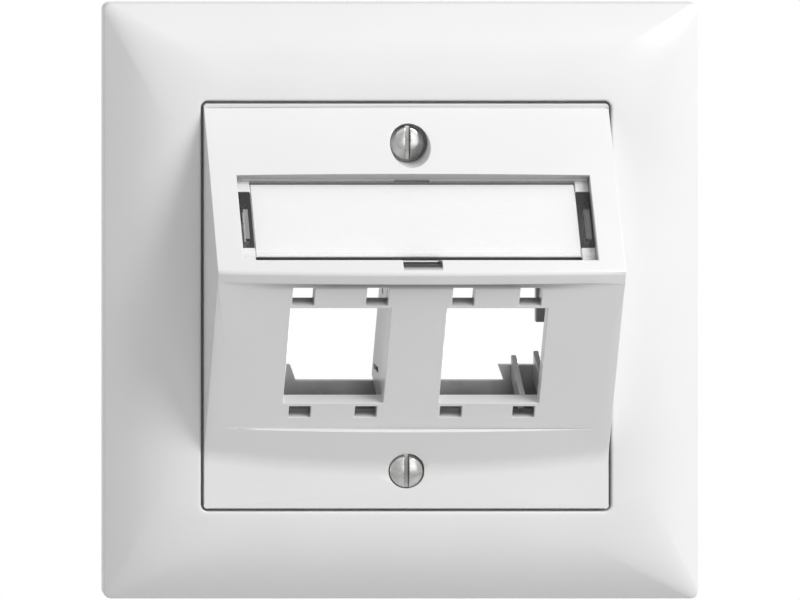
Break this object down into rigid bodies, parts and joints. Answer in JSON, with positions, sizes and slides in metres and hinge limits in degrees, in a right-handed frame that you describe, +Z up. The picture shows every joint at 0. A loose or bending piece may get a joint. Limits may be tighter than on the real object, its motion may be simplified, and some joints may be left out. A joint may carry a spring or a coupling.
{
  "type": "keystone faceplate",
  "caption": "Square crowned wall faceplate with an angled hood, slanted openings for keystone jacks and a label strip under a clip-in clear window.",
  "frame": {"origin": "middle of the faceplate in the wall plane, halfway between the two box screws", "axes": "+Z up the wall, +X to the right as seen from the room, +Y into the wall; the front faces -Y"},
  "size_m": [0.088, 0.0247, 0.088],
  "materials": {
    "white_plastic": "satin gloss moulding",
    "label_card": "smooth white card",
    "clear_plastic": "clear, polished",
    "nickelled_steel": "nickel-plated",
    "galvanised_steel": "galvanised sheet"
  },
  "bodies": {
    "faceplate": {"cover_frame": "white_plastic", "outlet_hood": "white_plastic", "label_strip": "label_card", "upper_screw": "nickelled_steel", "lower_screw": "nickelled_steel", "mounting_plate": "galvanised_steel"},
    "window": {"label_window": "clear_plastic"}
  },
  "joints": [
    {"name": "label_window_lift", "type": "slide", "parent": "faceplate", "child": "window", "axis": [0, -0.8132, 0.5819], "range_m": [0, 0.003]}
  ]
}
